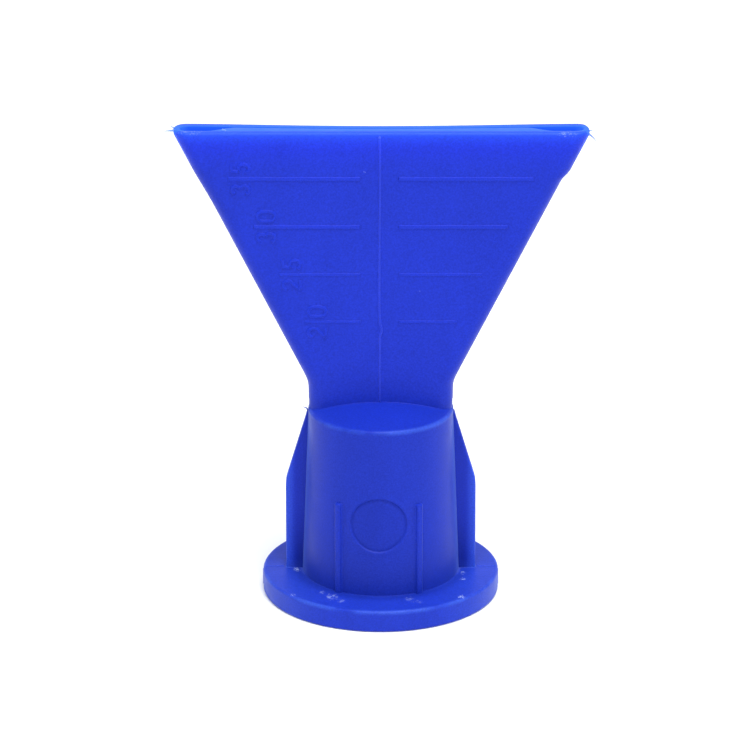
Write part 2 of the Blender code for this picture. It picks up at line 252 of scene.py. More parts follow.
def make_tone_group():
    """Blue with painted shade over the barrel and the neck, darkest at the barrel's foot, a
    painted glow at the thin lips and rim, painted highlights on the flange's top edge and the
    dome's rim, a painted sheen on the flange and beside the fins and painted light far from
    the axis, with slow flow marks and a fine pigment mottle."""
    inputs = [(name, COLOUR, (*blue, 1.0)) for name, blue in BLUES.items()]
    inputs += [(name, FLOAT, 0.0) for name in ("Mottle", "Edge Painted Highlight", "Outer Painted Light", "Side Painted Sheen")]
    group, given, result = new_group("pigment_tone", inputs, [("Color", COLOUR)])
    place = add_node(group, "ShaderNodeNewGeometry").outputs["Position"]
    x, y, z = add_node(group, "ShaderNodeSeparateXYZ", inputs={0: place}).outputs
    flat = vector_node(group, "MULTIPLY", {0: place, 1: (1.0, 1.0, 0.0)})
    radius = vector_node(group, "LENGTH", {0: flat}, "Value")

    # Painted shade: darker over the barrel and the neck, and darker still at the barrel's foot
    inner = soft_step(group, radius, *PAINTED_SHADE_RADII)
    barrel = product(group, soft_step(group, z, *PAINTED_SHADE_BARREL_HEIGHTS), inner)
    foot = product(group, soft_step(group, z, *PAINTED_SHADE_FOOT_HEIGHTS), inner)
    neck = product(group, soft_step(group, z, *PAINTED_SHADE_NECK_HEIGHTS), PAINTED_SHADE_NECK)
    depth = product(group, math_node(group, "MAXIMUM", barrel, neck), PAINTED_SHADE_BARREL)
    depth = math_node(group, "ADD", depth, product(group, foot, PAINTED_SHADE_FOOT), True)

    # Painted glow at the thin lips, paler towards the top and palest on the rim, where a painted
    # highlight joins it
    below = math_node(group, "SUBTRACT", LIP_HEIGHT, z)
    lip = near_top(group, below, LIP_DEPTH, 3.0)
    rim = near_top(group, below, RIM_DEPTH, 3.0)

    # Painted highlights along the flange's top edge and the dome's rim, broken into patches
    painted_light = 0.0
    for edge_radius, edge_height in PAINTED_HIGHLIGHT_EDGES:
        out = math_node(group, "SUBTRACT", radius, edge_radius)
        up = math_node(group, "SUBTRACT", z, edge_height)
        square = math_node(group, "ADD", product(group, out, out), product(group, up, up))
        near = soft_step(group, math_node(group, "SQRT", square), *EDGE_DISTANCES)
        painted_light = math_node(group, "ADD", painted_light, near, True)
    patchy = soft_step(group, noise(group, place, PATCHES, 3.0), 0.62, 0.3)
    painted_light = product(group, painted_light, patchy, given["Edge Painted Highlight"])
    # Painted sheen on the flange's top towards its left and right ends
    low = soft_step(group, z, *FLANGE_PAINTED_SHEEN_HEIGHTS)
    sideways = soft_step(group, math_node(group, "ABSOLUTE", x), *FLANGE_PAINTED_SHEEN_SIDES)
    painted_light = math_node(group, "MAXIMUM", painted_light, product(group, low, sideways, PAINTED_FLANGE_SHEEN))
    # Painted light far from the axis, below the dome: on the fins' outer edges and the flange
    base = soft_step(group, z, *BASE_HEIGHTS)
    outer = product(group, soft_step(group, radius, *OUTER_RADII), base, given["Outer Painted Light"])
    painted_light = math_node(group, "ADD", painted_light, outer, True)
    # Painted sheen on the barrel's flanks beside the fins, below the dome
    flank = soft_step(group, math_node(group, "ABSOLUTE", y), *SIDE_PAINTED_SHEEN_DEPTHS)
    skin = soft_step(group, radius, *SIDE_PAINTED_SHEEN_RADII)
    painted_sheen = product(group, flank, base, given["Side Painted Sheen"], skin)

    # Painted shade first, then painted highlights and sheen, then the painted glow at the lip and rim
    colour = mixed(group, depth, given["Blue"], given["Painted Shade Blue"])
    colour = mixed(group, painted_light, colour, given["Painted Highlight Blue"])
    colour = mixed(group, painted_sheen, colour, given["Painted Sheen Blue"])
    colour = mixed(group, lip, colour, given["Painted Lip Glow Blue"])
    colour = mixed(group, rim, colour, given["Painted Rim Glow Blue"])
    upright = add_node(group, "ShaderNodeMapping", inputs={"Vector": place, "Scale": (1.0, 1.0, 0.25)})
    flow = noise(group, upright.outputs[0], FLOW_MARKS, 3.0, Distortion=0.6)
    speckle = noise(group, place, SPECKLES, 1.0)
    flow = product(group, math_node(group, "SUBTRACT", flow, 0.5), FLOW_SHARE)
    swing = math_node(group, "ADD", flow, math_node(group, "SUBTRACT", speckle, 0.5))
    gain = math_node(group, "ADD", product(group, swing, given["Mottle"]), 1.0)
    group.links.new(vector_node(group, "SCALE", {0: colour, "Scale": gain}), result["Color"])
    return group


def make_grain_group():
    """Height of the mould's spark-eroded skin, with a few fine handling scratches."""
    inputs = [("Pitch", FLOAT, 0.25 * MM), ("Scratches", FLOAT, 0.4)]
    outputs = [("Height", FLOAT), ("Polish", FLOAT)]
    group, given, result = new_group("moulded_grain", inputs, outputs)
    place = add_node(group, "ShaderNodeNewGeometry").outputs["Position"]
    scale = math_node(group, "DIVIDE", 1.0, given["Pitch"])
    grain = noise(group, place, scale, 3.0, Roughness=0.6)
    lean = {"Vector": place, "Rotation": (0.0, STREAK_LEAN, 0.0), "Scale": (1.0, 0.5, 0.06)}
    leaning = add_node(group, "ShaderNodeMapping", inputs=lean)
    streaks = noise(group, leaning.outputs[0], STREAKS, 1.0)
    thin = map_range(group, streaks, (0.66, 0.78), (0.0, -1.0))
    height = math_node(group, "ADD", grain, product(group, thin, given["Scratches"]))
    group.links.new(height, result["Height"])
    group.links.new(noise(group, place, CLOUDS, 4.0), result["Polish"])
    return group


def make_scuff_group():
    """A mask of ragged pale nicks inside an oval round one place."""
    inputs = [
        ("Place", VECTOR, (0.0, 0.0, 0.0)),
        ("Size", VECTOR, (MM, MM, MM)),
        ("Raggedness", FLOAT, 0.5),
    ]
    group, given, result = new_group("scuff", inputs, [("Mask", FLOAT)])
    place = add_node(group, "ShaderNodeNewGeometry").outputs["Position"]
    away = vector_node(group, "SUBTRACT", {0: place, 1: given["Place"]})
    shared = vector_node(group, "DIVIDE", {0: away, 1: given["Size"]})
    distance = vector_node(group, "LENGTH", {0: shared}, "Value")
    rag = math_node(group, "SUBTRACT", noise(group, place, RAGS, 3.0), 0.5)
    rag = product(group, rag, 5.0, given["Raggedness"])
    mask = map_range(group, math_node(group, "ADD", distance, rag), (0.65, 1.0), (1.0, 0.0))
    flecks = noise(group, place, FLECKS, 2.0, Distortion=0.8)
    broken = soft_step(group, flecks, 0.60, 0.46)
    group.links.new(product(group, mask, broken), result["Mask"])
    return group


def make_glow_group():
    """A mask of light that comes through the thin walls into the slot, near its mouth."""
    inputs = [("Depth", FLOAT, GLOW_DEPTH), ("Slot Half", FLOAT, 0.9 * MM)]
    group, given, result = new_group("wall_glow", inputs, [("Mask", FLOAT)])
    place = add_node(group, "ShaderNodeNewGeometry").outputs["Position"]
    parts = add_node(group, "ShaderNodeSeparateXYZ", inputs={0: place}).outputs
    share = near_top(group, math_node(group, "SUBTRACT", LIP_HEIGHT, parts["Z"]), given["Depth"], 1.5)
    past = math_node(group, "SUBTRACT", math_node(group, "ABSOLUTE", parts["Y"]), given["Slot Half"])
    inside = soft_step(group, past, -0.05 * MM, 0.1 * MM)
    group.links.new(product(group, share, inside), result["Mask"])
    return group


tone_group = make_tone_group()
grain_group = make_grain_group()
scuff_group = make_scuff_group()
glow_group = make_glow_group()


def plastic(name, tint=1.0, pale=0.0, deep=1.0, outer=0.1, painted_sheen=0.0, roughness=0.42, scuffs=()):
    """Satin blue plastic. Each scuff is (place, size, strength) in millimetres. A pale share
    is for flash that is thin enough to let light through, deep under 1 darkens the painted
    shade near the barrel, outer is the painted light far from the axis, and the sheen share
    the painted sheen on the barrel beside the fins."""
    material = bpy.data.materials.new(name)
    material.use_nodes = True
    tree = material.node_tree
    tones = {"Mottle": MOTTLE, "Edge Painted Highlight": PAINTED_EDGE_HIGHLIGHT, "Outer Painted Light": outer, "Side Painted Sheen": painted_sheen}
    for key, blue in BLUES.items():
        gain = tint * deep if key == "Painted Shade Blue" else tint
        tones[key] = [c * gain * (1 - pale) + w * pale for c, w in zip(blue, SCUFF_WHITE)] + [1.0]
    colour = add_node(tree, "ShaderNodeGroup", {"node_tree": tone_group}, tones).outputs["Color"]
    for place, size, strength in scuffs:
        oval = {"Place": Vector(place) * MM, "Size": Vector(size) * MM}
        mask = add_node(tree, "ShaderNodeGroup", {"node_tree": scuff_group}, oval).outputs["Mask"]
        colour = mixed(tree, product(tree, mask, strength), colour, SCUFF_WHITE)
    grain = add_node(tree, "ShaderNodeGroup", {"node_tree": grain_group}).outputs
    glow = add_node(tree, "ShaderNodeGroup", {"node_tree": glow_group}).outputs["Mask"]
    bump = {"Strength": 0.35, "Distance": GRAIN_DEPTH, "Height": grain["Height"]}
    looks = {
        "Base Color": colour,
        "Roughness": map_range(tree, grain["Polish"], (0.3, 0.7), (roughness - 0.05, roughness + 0.05)),
        "Normal": add_node(tree, "ShaderNodeBump", inputs=bump).outputs["Normal"],
        "Emission Color": mixed(tree, glow, NO_GLOW, GLOW_BLUE),
        "Emission Strength": 1.0,
        "Specular IOR Level": 0.13,
        "Sheen Weight": 0.05,
        "Sheen Roughness": 0.35,
        "Sheen Tint": (0.6, 1.0, 1.0, 1.0),
        "Subsurface Weight": 0.05,
        "Subsurface Radius": (0.3, 0.5, 1.0),
        "Subsurface Scale": 0.5 * MM,
    }
    set_inputs(tree, tree.nodes["Principled BSDF"], looks)
    return material


FLANGE_SCUFFS = [
    ((-8.5, -0.9, 2.3), (0.35, 0.6, 0.3), 0.5),
    ((-8.8, -7.6, 2.3), (0.25, 0.4, 0.3), 0.45),
    ((-5.9, -6.9, 2.3), (0.3, 0.5, 0.3), 0.25),
    ((-4.9, -8.2, 2.3), (0.6, 0.8, 0.3), 0.25),
    ((-4.0, -9.2, 2.3), (0.5, 0.4, 0.3), 0.20),
    ((2.9, -8.7, 2.3), (0.5, 0.6, 0.3), 0.14),
    ((3.7, -9.4, 2.3), (0.5, 0.4, 0.3), 0.12),
    ((8.3, -1.9, 2.3), (0.3, 0.5, 0.3), 0.4),
    ((8.3, -3.6, 2.3), (0.3, 0.35, 0.3), 0.5),
    ((8.1, -8.1, 2.3), (0.35, 0.4, 0.3), 0.4),
]
# Specks, a burr and two painted glints on the fan and its lip
FAN_SCUFFS_AND_GLINTS = [
    ((3.84, -1.6, 32.5), (0.22, 0.3, 0.08), 0.16),
    ((-1.62, -1.6, 45.0), (0.10, 0.3, 0.12), 0.25),
    ((-15.4, -0.7, 49.0), (0.2, 0.35, 0.25), 0.6),
    # Painted glint on the right end of the front lip
    ((18.4, -1.3, 48.8), (1.0, 0.5, 0.22), 0.22),
    # Painted glint on the left end of the front lip
    ((-18.8, -1.1, 48.9), (1.2, 0.5, 0.2), 0.18),
]
# The body's plastic carries the painted sheen beside the fins
body_plastic = plastic("blue_plastic", painted_sheen=0.75, scuffs=FLANGE_SCUFFS + FAN_SCUFFS_AND_GLINTS)
# The mark's disc is a little darker, a painted shade in the recess, and rougher
disc_plastic = plastic("blue_plastic_disc", tint=0.94, roughness=0.5)
# The ridges are a lit copy of the plastic: their lighter tint is painted light on the raised marks
ridge_plastic = plastic("blue_plastic_ridge", tint=1.07, roughness=0.38)
# The fins' plastic is a lit copy: lighter overall as painted light, with stronger painted shade beside
# the barrel and painted light on the outer edges
fin_plastic = plastic("blue_plastic_fin", tint=1.13, deep=0.7, outer=0.5)
# The numerals, seam and bead are lit copies too: lighter tints painted on as the light they catch
figure_plastic = plastic("blue_plastic_figure", tint=1.05, roughness=0.42)
seam_plastic = plastic("blue_plastic_seam", tint=1.15, pale=0.012, roughness=0.34)
bead_plastic = plastic("blue_plastic_bead", tint=1.15, pale=0.06, roughness=0.4)
flash_plastic = plastic("blue_plastic_flash", pale=0.25, roughness=0.5)

# --- Moulded body --------------------------------------------------------------
# One continuous skin: flange, tapered barrel, domed shoulder and fan outside, then over
# the lips and down the slot and the bore inside. The mould rounds every edge a little.
flange_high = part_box("flange_ring")[1]
barrel_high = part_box("barrel_shell")[1]
edge_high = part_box("fan_right_edge")[1]
FLANGE_RADIUS = flange_high.x
FLANGE_TOP = flange_high.z
BARREL_FOOT_RADIUS = barrel_high.x
RIM_RADIUS = 7.3 * MM
RIM_HEIGHT = 19.6 * MM
DOME_CROWN = 20.75 * MM
BARREL_WALL = 1.2 * MM
MOUTH_HEIGHT = edge_high.z
MOUTH_HALF_WIDTH = edge_high.x
FAN_HALF_THICKNESS = edge_high.y
FAN_WALL = 0.8 * MM
NECK_HALF_WIDTH = 7.22 * MM
FLARE_SLOPE = 0.5
FLARE_START = MOUTH_HEIGHT - (MOUTH_HALF_WIDTH - NECK_HALF_WIDTH) / FLARE_SLOPE
FLARE_SOFTNESS = 0.25 * MM
MOUTH_STEP = {"left": 0.18 * MM, "right": 0.34 * MM}
STEP_HEIGHTS = {"left": (41.0 * MM, 45.2 * MM), "right": (43.7 * MM, 44.7 * MM)}

QUARTER_ARC = 14
QUARTER_FLAT = 66
QUARTER = QUARTER_ARC + QUARTER_FLAT
quarter_index = np.concatenate([np.arange(QUARTER), np.arange(QUARTER, 0, -1)] * 2)
sign_x = np.repeat([1, -1, -1, 1], QUARTER)
sign_y = np.repeat([1, 1, -1, -1], QUARTER)


def barrel_radius(z):
    share = (z - FLANGE_TOP) / (RIM_HEIGHT - FLANGE_TOP)
    return BARREL_FOOT_RADIUS + (RIM_RADIUS - BARREL_FOOT_RADIUS) * share


DOME_SPHERE = (RIM_RADIUS**2 + (DOME_CROWN - RIM_HEIGHT) ** 2) / (2 * (DOME_CROWN - RIM_HEIGHT))


def dome_height(x, y):
    return DOME_CROWN - DOME_SPHERE + np.sqrt(DOME_SPHERE**2 - x**2 - y**2)


def fan_half_width(z):
    """Straight along the neck, then flaring, with a soft bend between."""
    past = (z - FLARE_START) / FLARE_SOFTNESS
    return NECK_HALF_WIDTH + FLARE_SLOPE * FLARE_SOFTNESS * np.logaddexp(0.0, past)


def circle(radius):
    angle = math.pi / 2 * quarter_index / QUARTER
    return sign_x * radius * np.cos(angle), sign_y * radius * np.sin(angle)


def stadium(half_width, half_thickness):
    """A rounded slot outline with the same number of points as a circle, and its normals."""
    angle = math.pi / 2 * np.minimum(quarter_index / QUARTER_ARC, 1.0)
    flat = np.clip((quarter_index - QUARTER_ARC) / QUARTER_FLAT, 0.0, 1.0)
    straight = half_width - half_thickness
    x = straight * (1 - flat) + half_thickness * np.cos(angle)
    y = half_thickness * np.sin(angle)
    return sign_x * x, sign_y * y, sign_x * np.cos(angle), sign_y * np.sin(angle)


def arc_angles(start, end, steps):
    return [math.radians(start + (end - start) * i / steps) for i in range(steps + 1)]


body_rings = []


def add_ring(x, y, z):
    body_rings.append(np.stack([x, y, np.broadcast_to(z, x.shape)], axis=1))


def add_turned(radius, z):
    add_ring(*circle(radius), z)


# Flange: underside, rounded rim, clamping face and the small fillet at the barrel's foot
BORE_FOOT = BARREL_FOOT_RADIUS - BARREL_WALL
BORE_EDGE = 0.25 * MM
FLANGE_EDGE = 0.28 * MM
FOOT_FILLET = 0.04 * MM
HOLD = 0.05 * MM  # flat run kept beside each rounded edge
for a in arc_angles(180, 270, 4):
    add_turned(BORE_FOOT + BORE_EDGE * (1 + math.cos(a)), BORE_EDGE * (1 + math.sin(a)))
for r in np.linspace(BORE_FOOT + BORE_EDGE + HOLD, FLANGE_RADIUS - FLANGE_EDGE - HOLD, 5):
    add_turned(r, 0.0)
for a in arc_angles(-90, 0, 5):
    add_turned(FLANGE_RADIUS - FLANGE_EDGE * (1 - math.cos(a)), FLANGE_EDGE * (1 + math.sin(a)))
for z in np.linspace(FLANGE_EDGE + HOLD, FLANGE_TOP - FLANGE_EDGE - HOLD, 4):
    add_turned(FLANGE_RADIUS, z)
for a in arc_angles(0, 90, 6):
    add_turned(
        FLANGE_RADIUS - FLANGE_EDGE * (1 - math.cos(a)),
        FLANGE_TOP - FLANGE_EDGE * (1 - math.sin(a)),
    )
foot_start = BARREL_FOOT_RADIUS + FOOT_FILLET
for r in np.linspace(FLANGE_RADIUS - FLANGE_EDGE - HOLD, foot_start + HOLD, 6):
    add_turned(r, FLANGE_TOP)
for a in arc_angles(270, 180, 5):
    add_turned(foot_start + FOOT_FILLET * math.cos(a), FLANGE_TOP + FOOT_FILLET * (1 + math.sin(a)))

# Barrel, then the rounded rim and the dome, both narrowing to nothing at the fan's ends
RIM_EDGE = 0.32 * MM
FAN_FILLET = 0.05 * MM
SMALLEST_ROUND = 0.03 * MM
MARK_CENTRE = (-0.21 * MM, 9.73 * MM)
MARK_RADIUS = 2.85 * MM
HOLLOW_DEPTH = 0.25 * MM
HOLLOW_REACH = 1.12
HOLLOW_FADE = 0.15
for z in np.linspace(FLANGE_TOP + FOOT_FILLET + HOLD, RIM_HEIGHT - 2 * RIM_EDGE, 84):
    x, y = circle(barrel_radius(z))
    away = np.hypot(x - MARK_CENTRE[0], z - MARK_CENTRE[1]) / MARK_RADIUS
    hollow = HOLLOW_DEPTH * np.clip((HOLLOW_REACH - away) / HOLLOW_FADE, 0.0, 1.0) * (y < 0)
    add_ring(x, y + hollow, z)

rim_x, rim_y = circle(RIM_RADIUS)
foot_x, foot_y, foot_nx, foot_ny = stadium(NECK_HALF_WIDTH, FAN_HALF_THICKNESS)
room = 0.3 * np.hypot(rim_x - foot_x, rim_y - foot_y)
rim_round = np.clip(room, SMALLEST_ROUND, RIM_EDGE)
foot_round = np.clip(room, SMALLEST_ROUND, FAN_FILLET)
rim_angle = np.arctan2(rim_y, rim_x)
rim_centre = RIM_RADIUS - rim_round
dome_centre = DOME_CROWN - DOME_SPHERE
rim_centre_z = dome_centre + np.sqrt((DOME_SPHERE - rim_round) ** 2 - rim_centre**2)
dome_tilt = math.degrees(math.asin(RIM_RADIUS / DOME_SPHERE))
for a in arc_angles(0, 90 - dome_tilt, 6):
    r = rim_centre + rim_round * math.cos(a)
    add_ring(r * np.cos(rim_angle), r * np.sin(rim_angle), rim_centre_z + rim_round * math.sin(a))

dome_start_r = rim_centre + rim_round * math.sin(math.radians(dome_tilt))
start_x, start_y = dome_start_r * np.cos(rim_angle), dome_start_r * np.sin(rim_angle)
slope = -(foot_x * foot_nx + foot_y * foot_ny) / DOME_SPHERE
slope_length = np.sqrt(1 + slope**2)
fillet_z = dome_height(foot_x, foot_y) + foot_round * (slope + slope_length)
end_x = foot_x + foot_nx * foot_round * (1 + slope / slope_length)
end_y = foot_y + foot_ny * foot_round * (1 + slope / slope_length)
for share in np.linspace(0.02, 0.98, 18):
    x = start_x + (end_x - start_x) * share
    y = start_y + (end_y - start_y) * share
    add_ring(x, y, dome_height(x, y))
fillet_start = -np.arctan2(1.0, slope)
for share in np.linspace(0.0, 1.0, 6):
    a = fillet_start + (-math.pi - fillet_start) * share
    out = foot_round * (1 + np.cos(a))
    add_ring(foot_x + foot_nx * out, foot_y + foot_ny * out, fillet_z + foot_round * np.sin(a))

# Fan: its back wall sinks into the slot towards the middle of the mouth, and the front
# wall's lip swells inwards there, so the slot stands open only near its two ends
BACK_SINK = 0.75 * MM
SLOT_SHUT = 0.8
SWELL_EDGES = (17.2 * MM, 14.2 * MM)


def smooth_share(value, low, high):
    share = np.clip((value - low) / (high - low), 0.0, 1.0)
    return share * share * (3 - 2 * share)


def mouth_step(side_name, z):
    """How far the fan's edge steps out above its last cut mark, where the mould wore."""
    return MOUTH_STEP[side_name] * smooth_share(z, *STEP_HEIGHTS[side_name])


def add_fan_ring(z, inset):
    """A ring of the fan, inset from its outer face by 0 outside to FAN_WALL in the slot."""
    half = fan_half_width(z) + np.where(sign_x < 0, mouth_step("left", z), mouth_step("right", z))
    x, y = stadium(half - inset, FAN_HALF_THICKNESS - inset)[:2]
    rise = np.clip((z - FLARE_START) / (MOUTH_HEIGHT - FLARE_START), 0.0, 1.0)
    across = np.clip(np.abs(x) / half, 0.0, 1.0)
    slot_half = FAN_HALF_THICKNESS - FAN_WALL
    sink = BACK_SINK * rise**3 * (1 - across**2) ** 2
    inside = smooth_share(inset, 0.35 * FAN_WALL, FAN_WALL)
    shut = SLOT_SHUT * (2 * slot_half - sink)
    swell = shut * inside * rise**8 * smooth_share(np.abs(x), *SWELL_EDGES)
    back, front = smooth_share(y, 0.0, slot_half), smooth_share(-y, 0.0, slot_half)
    add_ring(x, y - sink * back + swell * front, z)


LIP_EDGE = 0.35 * MM
BACK_LIP_EDGE = 0.14 * MM
LIP_INNER_EDGE = 0.1 * MM
LEFT_CORNER = 0.2 * MM
RIGHT_CORNER = 0.36 * MM
BEND_ZONE = 1.0 * MM
wall_foot = float(fillet_z.max()) + 0.4 * MM
wall_top = MOUTH_HEIGHT - LIP_EDGE - RIGHT_CORNER - HOLD
fillet_top = np.asarray(body_rings[-1][:, 2])
for share in (0.15, 0.5):
    add_ring(foot_x, foot_y, fillet_top + (wall_foot - fillet_top) * share)
neck_heights = np.linspace(wall_foot, FLARE_START - BEND_ZONE, 4, endpoint=False)
bend_heights = np.linspace(FLARE_START - BEND_ZONE, FLARE_START + BEND_ZONE, 12, endpoint=False)
fan_heights = np.linspace(FLARE_START + BEND_ZONE, wall_top, 54)
for z in np.concatenate([neck_heights, bend_heights, fan_heights]):
    add_fan_ring(z, 0.0)
lip_edge = LIP_EDGE + (BACK_LIP_EDGE - LIP_EDGE) * smooth_share(foot_ny, -0.3, 0.6)
corner = np.where(sign_x < 0, LEFT_CORNER, RIGHT_CORNER)
lip_edge = lip_edge + corner * smooth_share(np.abs(foot_nx), 0.5, 1.0)
for a in arc_angles(0, 90, 7):
    add_fan_ring(MOUTH_HEIGHT - lip_edge * (1 - math.sin(a)), lip_edge * (1 - math.cos(a)))
inner_lip = FAN_WALL - LIP_INNER_EDGE
for a in arc_angles(90, 0, 3):
    z = MOUTH_HEIGHT - LIP_INNER_EDGE * (1 - math.sin(a))
    add_fan_ring(z, inner_lip + LIP_INNER_EDGE * math.cos(a))
for z in np.linspace(MOUTH_HEIGHT - LIP_INNER_EDGE - HOLD, RIM_HEIGHT + 0.6 * MM, 36):
    add_fan_ring(z, FAN_WALL)

# Bore: a funnel from the slot down to the round bore, which widens towards the flange
FUNNEL_FOOT = RIM_HEIGHT - 1.4 * MM
slot_ring = body_rings[-1]
bore_x, bore_y = circle(barrel_radius(FUNNEL_FOOT) - BARREL_WALL)
for share in np.linspace(0.0, 1.0, 12)[1:]:
    x = slot_ring[:, 0] + (bore_x - slot_ring[:, 0]) * share
    y = slot_ring[:, 1] + (bore_y - slot_ring[:, 1]) * share
    add_ring(x, y, slot_ring[:, 2] + (FUNNEL_FOOT - slot_ring[:, 2]) * share**2)
for z in np.linspace(FUNNEL_FOOT - 0.3 * MM, BORE_EDGE + HOLD, 20):
    add_turned(barrel_radius(z) - BARREL_WALL, z)


SAME_POINT = 0.0005 * MM


def skin_from(name, rings, ends, material):
    """A smooth mesh through closed rings of points. ends is "join", "cap" or "open"."""
    rows, columns = len(rings), len(rings[0])
    index = np.arange(rows * columns).reshape(rows, columns)
    last = rows if ends == "join" else rows - 1
    low, high = index[:last], np.roll(index, -1, axis=0)[:last]
    quads = np.stack([low, np.roll(low, -1, 1), np.roll(high, -1, 1), high], axis=2)
    faces = quads.reshape(-1, 4).tolist()
    if ends == "cap":
        for ring in (index[0].tolist(), index[-1].tolist()):
            for i in range(columns // 2 - 1):
                faces.append([ring[i], ring[i + 1], ring[columns - 2 - i], ring[columns - 1 - i]])
    mesh = bpy.data.meshes.new(name)
    mesh.from_pydata(np.concatenate(rings).tolist(), [], faces)
    bm = bmesh.new()
    bm.from_mesh(mesh)
    bmesh.ops.remove_doubles(bm, verts=bm.verts, dist=SAME_POINT)
    bmesh.ops.recalc_face_normals(bm, faces=bm.faces)
    bm.to_mesh(mesh)
    bm.free()
    mesh.shade_smooth()
    mesh.materials.append(material)
    obj = bpy.data.objects.new(name, mesh)
    scene.collection.objects.link(obj)
    weigh = obj.modifiers.new("weigh_normals", "WEIGHTED_NORMAL")
    weigh.mode = "FACE_AREA"
    weigh.weight = 50
    return obj


def fit_to_body(obj, slot, *nodes):
    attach(obj, "root")
    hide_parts(*nodes)
    return obj


body = skin_from("moulded_body", body_rings, "join", body_plastic)
fit_to_body(
    body,
    "moulding",
    "flange_ring",
    "barrel_shell",
    "shoulder_dome",
    "fan_front_wall",
    "fan_back_wall",
    "fan_left_edge",
    "fan_right_edge",
)

# --- Round mark ----------------------------------------------------------------
# A shallow ejector pin mark on the barrel's front: a flat disc a little below the skin,
# with a sharp edge and a low swelling round it. Its patch covers a hollow in the body.
MARK_PROFILE = [
    (0.0, -0.075),
    (0.3, -0.075),
    (0.6, -0.08),
    (0.85, -0.09),
    (0.93, -0.11),
    (0.955, -0.15),
    (0.975, -0.15),
    (0.995, -0.03),
    (1.01, 0.02),
    (1.03, 0.035),
    (1.06, 0.034),
    (1.1, 0.018),
    (1.14, 0.008),
    (1.18, 0.004),
    (1.21, -0.02),
]
MARK_STEPS = 180
DISC_SHARE = 0.985


def barrel_point(x, z, lift, side):
    """A point over the barrel's front (-1) or back (+1), lifted off its surface."""
    around = np.arcsin(x / barrel_radius(z))
    radius = barrel_radius(z) + lift
    return np.stack([radius * np.sin(around), side * radius * np.cos(around), z + 0 * x], axis=-1)


mark_angle = np.arange(MARK_STEPS) * 2 * math.pi / MARK_STEPS
mark_rings = []
for share, lift in MARK_PROFILE:
    x = MARK_CENTRE[0] + share * MARK_RADIUS * np.cos(mark_angle)
    z = MARK_CENTRE[1] + share * MARK_RADIUS * np.sin(mark_angle)
    mark_rings.append(barrel_point(x, z, lift * MM, -1))
round_mark = fit_to_body(skin_from("round_mark", mark_rings, "open", body_plastic), "moulding")
round_mark.data.materials.append(disc_plastic)
for face in round_mark.data.polygons:
    away = math.hypot(face.center.x - MARK_CENTRE[0], face.center.z - MARK_CENTRE[1])
    face.material_index = int(away < DISC_SHARE * MARK_RADIUS)

# --- Side fins -----------------------------------------------------------------
# Thin gussets on the mould's parting plane, drawn with a soft outer edge and with small
# fillets where they grow out of the barrel and the flange.
FIN_CORNER = 11.86 * MM
FIN_EDGE = 0.22 * MM
FIN_FILLET = 0.05 * MM
FIN_BEND = 0.2 * MM
FIN_TOP_REACH = 0.1 * MM


def make_side_fin(side_name, side):
    low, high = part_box("side_fin_" + side_name)
    reach_low = max(abs(low.x), abs(high.x))
    half = (high.y - low.y) / 2
    top = high.z

    def fin_reach(z):
        lean = (reach_low - barrel_radius(top) - FIN_TOP_REACH) / (top - FIN_CORNER)
        return reach_low - lean * FIN_BEND * np.logaddexp(0.0, (z - FIN_CORNER) / FIN_BEND)

    def fin_ring(z, spread):
        wall = barrel_radius(z)
        reach = max(fin_reach(z) + spread, wall + 0.02 * MM)
        scale = min(1.0, (reach - wall) / (FIN_EDGE + FIN_FILLET + 0.1 * MM))
        edge, fillet = FIN_EDGE * scale, FIN_FILLET * scale
        thick = half + spread
        outline = [(wall - 0.3 * MM, thick + fillet)]
        for a in arc_angles(0, 90, 5):
            outline.append((wall + fillet * (1 - math.cos(a)), thick + fillet * (1 - math.sin(a))))
        for share in (0.25, 0.5, 0.75):
            outline.append((wall + fillet + (reach - edge - wall - fillet) * share, thick))
        for a in arc_angles(0, 90, 5):
            outline.append((reach - edge * (1 - math.sin(a)), thick - edge * (1 - math.cos(a))))
        there = [(side * x, y, z) for x, y in outline]
        back = [(side * x, -y, z) for x, y in outline[::-1]]
        return np.array(there + back)

    rings = [fin_ring(FLANGE_TOP - 0.05 * MM, FIN_FILLET)]
    for a in arc_angles(0, 90, 5):
        z = FLANGE_TOP + FIN_FILLET * (1 - math.cos(a))
        rings.append(fin_ring(z, FIN_FILLET * (1 - math.sin(a))))
    for z in np.linspace(FLANGE_TOP + FIN_FILLET + 0.05 * MM, top, 60):
        rings.append(fin_ring(z, 0.0))
    fin = skin_from("fin_" + side_name, rings, "cap", fin_plastic)
    fit_to_body(fin, "moulding", "side_fin_" + side_name)


make_side_fin("left", -1)
make_side_fin("right", 1)

# --- Raised lines --------------------------------------------------------------
# Ribs, cut bars, numerals and the seam are all ridges that the mould's engraving leaves:
# a flat top with soft shoulders and a small fillet at each foot, drawn along a path.


LINE_END = 0.08 * MM


